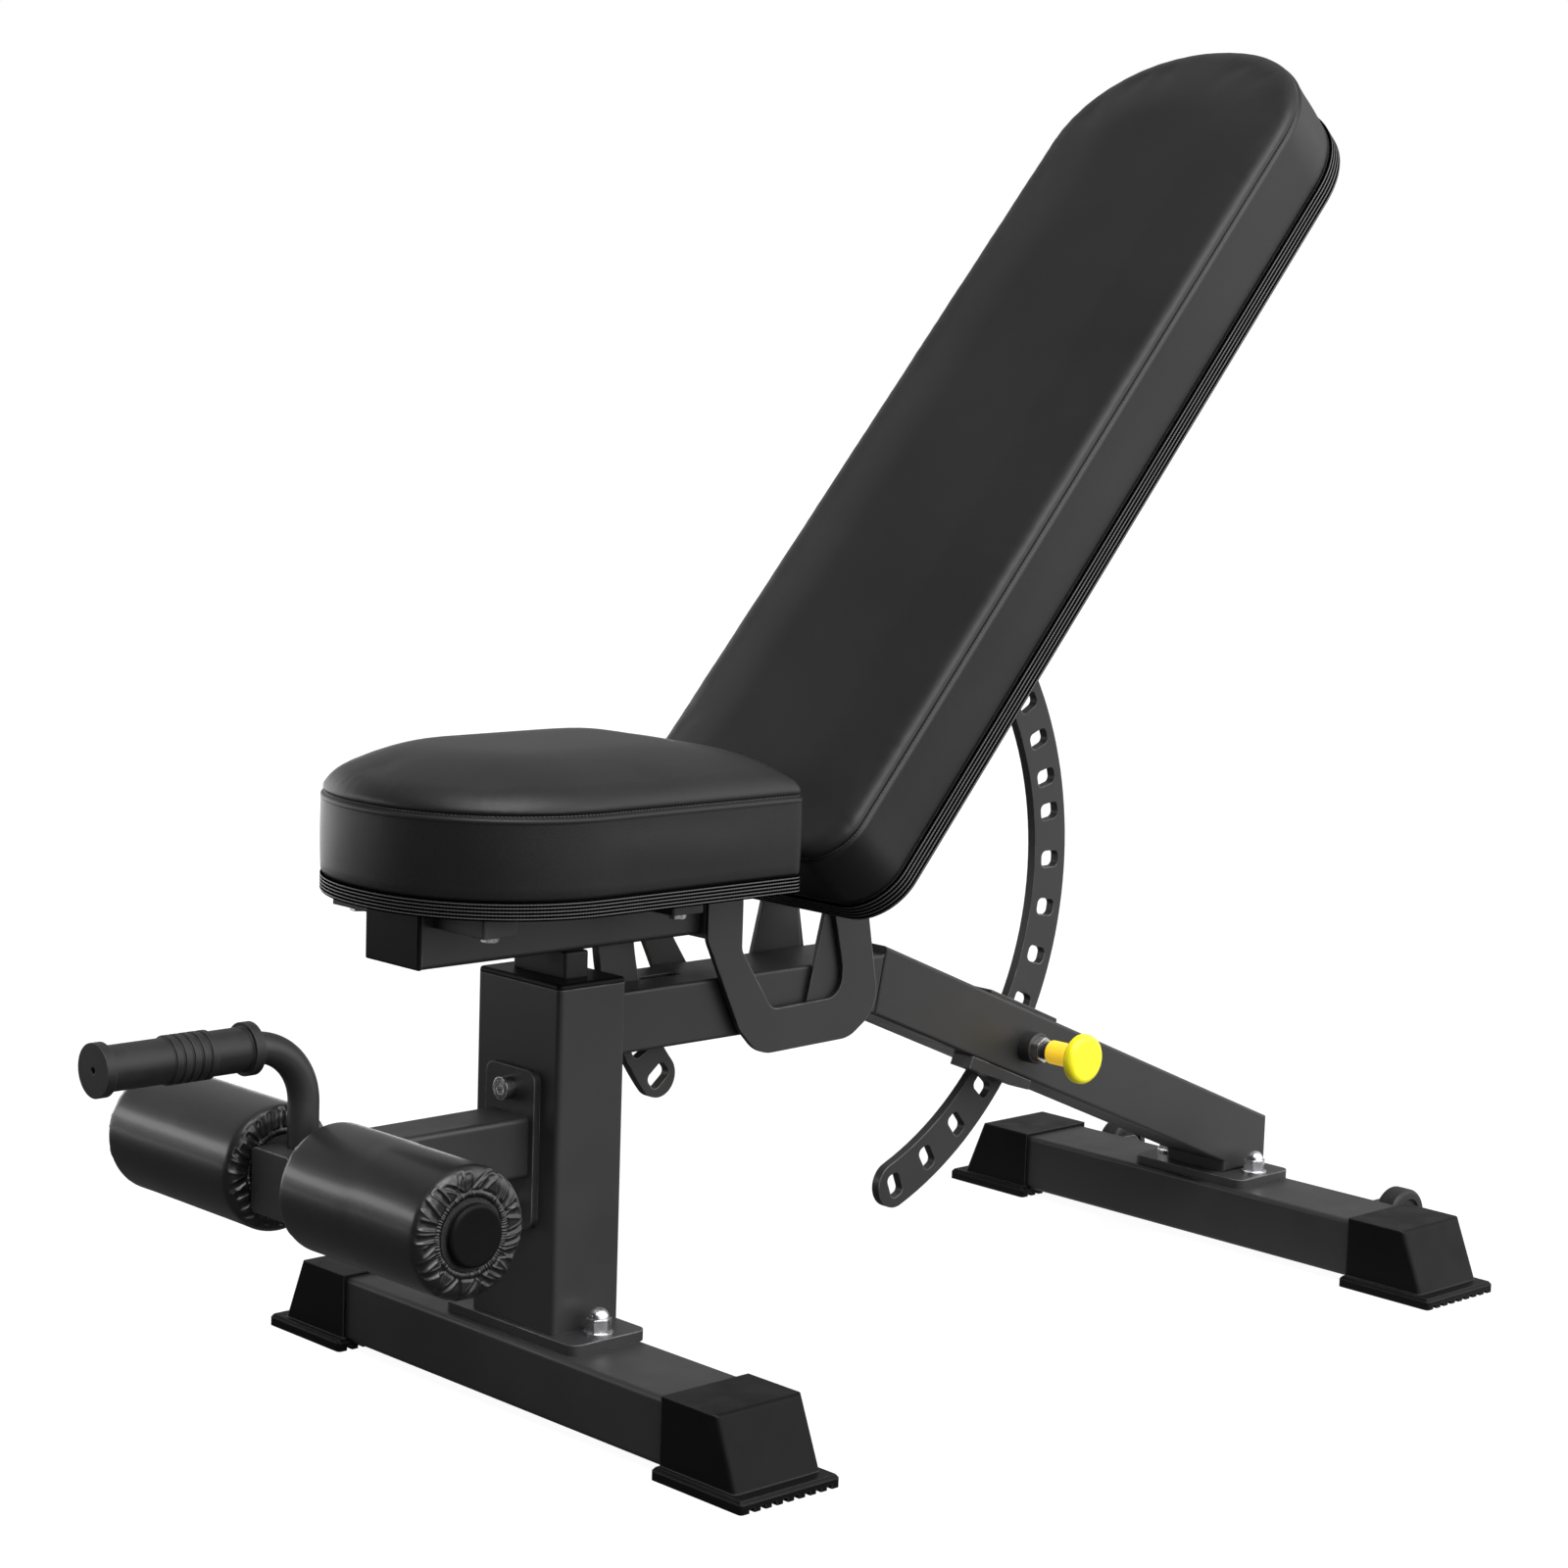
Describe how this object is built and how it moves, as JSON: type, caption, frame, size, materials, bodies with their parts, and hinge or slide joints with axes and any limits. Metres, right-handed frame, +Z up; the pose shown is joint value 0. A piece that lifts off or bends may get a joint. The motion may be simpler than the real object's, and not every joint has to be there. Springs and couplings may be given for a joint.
{
  "type": "decline sit up bench",
  "caption": "Adjustable decline sit-up bench: hinged backrest and seat set by arc ladders and pop pins, foam leg rollers, hand grip, wide crossbar feet.",
  "frame": {"origin": "on the floor, in the middle of the bench's footprint box", "axes": "+Z up, +X towards the side with the backrest's pop pin, +Y from the leg hold to the transport wheels"},
  "size_m": [0.552, 1.255, 1.0425],
  "materials": {
    "steel": "satin black powder coat",
    "zinc": "bright zinc plate",
    "foot_plastic": "satin black moulded plastic",
    "rubber": "matt black rubber",
    "pad_leather": "fine-grain black synthetic leather",
    "band_leather": "ribbed black edge band over the board",
    "roller_leather": "glossy black synthetic leather",
    "foam": "closed-cell foam",
    "knob_plastic": "bright yellow moulded plastic"
  },
  "bodies": {
    "frame": {"front_crossbar": "steel", "rear_crossbar": "steel", "front_foot_caps": "foot_plastic", "rear_foot_caps": "foot_plastic", "main_post": "steel", "post_base_plate": "steel", "post_cap": "foot_plastic", "seat_bumper": "rubber", "spine_tube": "steel", "rear_leg": "steel", "rear_base_plate": "steel", "crossbar_bolts": "zinc", "ladder_guide_upper": "steel", "ladder_guide_lower": "steel", "pivot_bracket_right": "steel", "pivot_bracket_left": "steel", "pivot_axle": "zinc", "pivot_axle_nut": "zinc", "leg_hold_flange": "steel", "leg_hold_tube": "steel", "leg_hold_bolts": "zinc", "roller_axle": "steel", "roller_end_caps": "foot_plastic", "handle_tube": "steel", "handle_grip": "rubber", "wheel_brackets": "steel", "wheel_axles": "zinc", "back_pin_sleeve": "steel", "seat_pin_sleeve": "steel", "pin_lock_nuts": "zinc"},
    "backrest": {"backrest_pad": "pad_leather", "backrest_board": "band_leather", "backrest_tube": "steel", "backrest_pivot_bush": "steel", "backrest_ladder": "steel", "backrest_brackets": "steel", "backrest_screws": "zinc"},
    "seat": {"seat_pad": "pad_leather", "seat_board": "band_leather", "seat_tube": "steel", "seat_tube_cap": "foot_plastic", "seat_end_plate": "steel", "seat_arm_right": "steel", "seat_arm_left": "steel", "seat_ladder": "steel", "seat_brackets": "steel", "seat_screws": "zinc"},
    "back_pop_pin": {"back_pin": "zinc", "back_pin_knob": "knob_plastic", "back_pin_spring": "zinc"},
    "seat_pop_pin": {"seat_pin": "zinc", "seat_pin_knob": "knob_plastic", "seat_pin_spring": "zinc"},
    "roller_right": {"roller_foam_right": "foam", "roller_cover_right": "roller_leather"},
    "roller_left": {"roller_foam_left": "foam", "roller_cover_left": "roller_leather"},
    "wheel_right": {"transport_wheel_right": "rubber"},
    "wheel_left": {"transport_wheel_left": "rubber"}
  },
  "joints": [
    {"name": "backrest_pivot", "type": "hinge", "parent": "frame", "child": "backrest", "pos_m": [0, 0.0205, 0.363], "axis": [1, 0, 0], "range_deg": [-63.1, 34]},
    {"name": "seat_pivot", "type": "hinge", "parent": "frame", "child": "seat", "pos_m": [0, 0.0205, 0.363], "axis": [1, 0, 0], "range_deg": [-17.4, 0]},
    {"name": "back_pin_pull", "type": "slide", "parent": "frame", "child": "back_pop_pin", "axis": [1, 0, 0], "range_m": [-0.008, 0.004], "deforming": ["back_pin_spring"]},
    {"name": "seat_pin_pull", "type": "slide", "parent": "frame", "child": "seat_pop_pin", "axis": [-1, 0, 0], "range_m": [-0.008, 0.004], "deforming": ["seat_pin_spring"]},
    {"name": "roller_right_spin", "type": "hinge", "parent": "frame", "child": "roller_right", "pos_m": [0.1065, -0.4575, 0.202], "axis": [1, 0, 0], "continuous": true},
    {"name": "roller_left_spin", "type": "hinge", "parent": "frame", "child": "roller_left", "pos_m": [-0.1065, -0.4575, 0.202], "axis": [1, 0, 0], "continuous": true},
    {"name": "wheel_right_spin", "type": "hinge", "parent": "frame", "child": "wheel_right", "pos_m": [0.161, 0.6025, 0.039], "axis": [1, 0, 0], "continuous": true},
    {"name": "wheel_left_spin", "type": "hinge", "parent": "frame", "child": "wheel_left", "pos_m": [-0.161, 0.6025, 0.039], "axis": [1, 0, 0], "continuous": true}
  ]
}
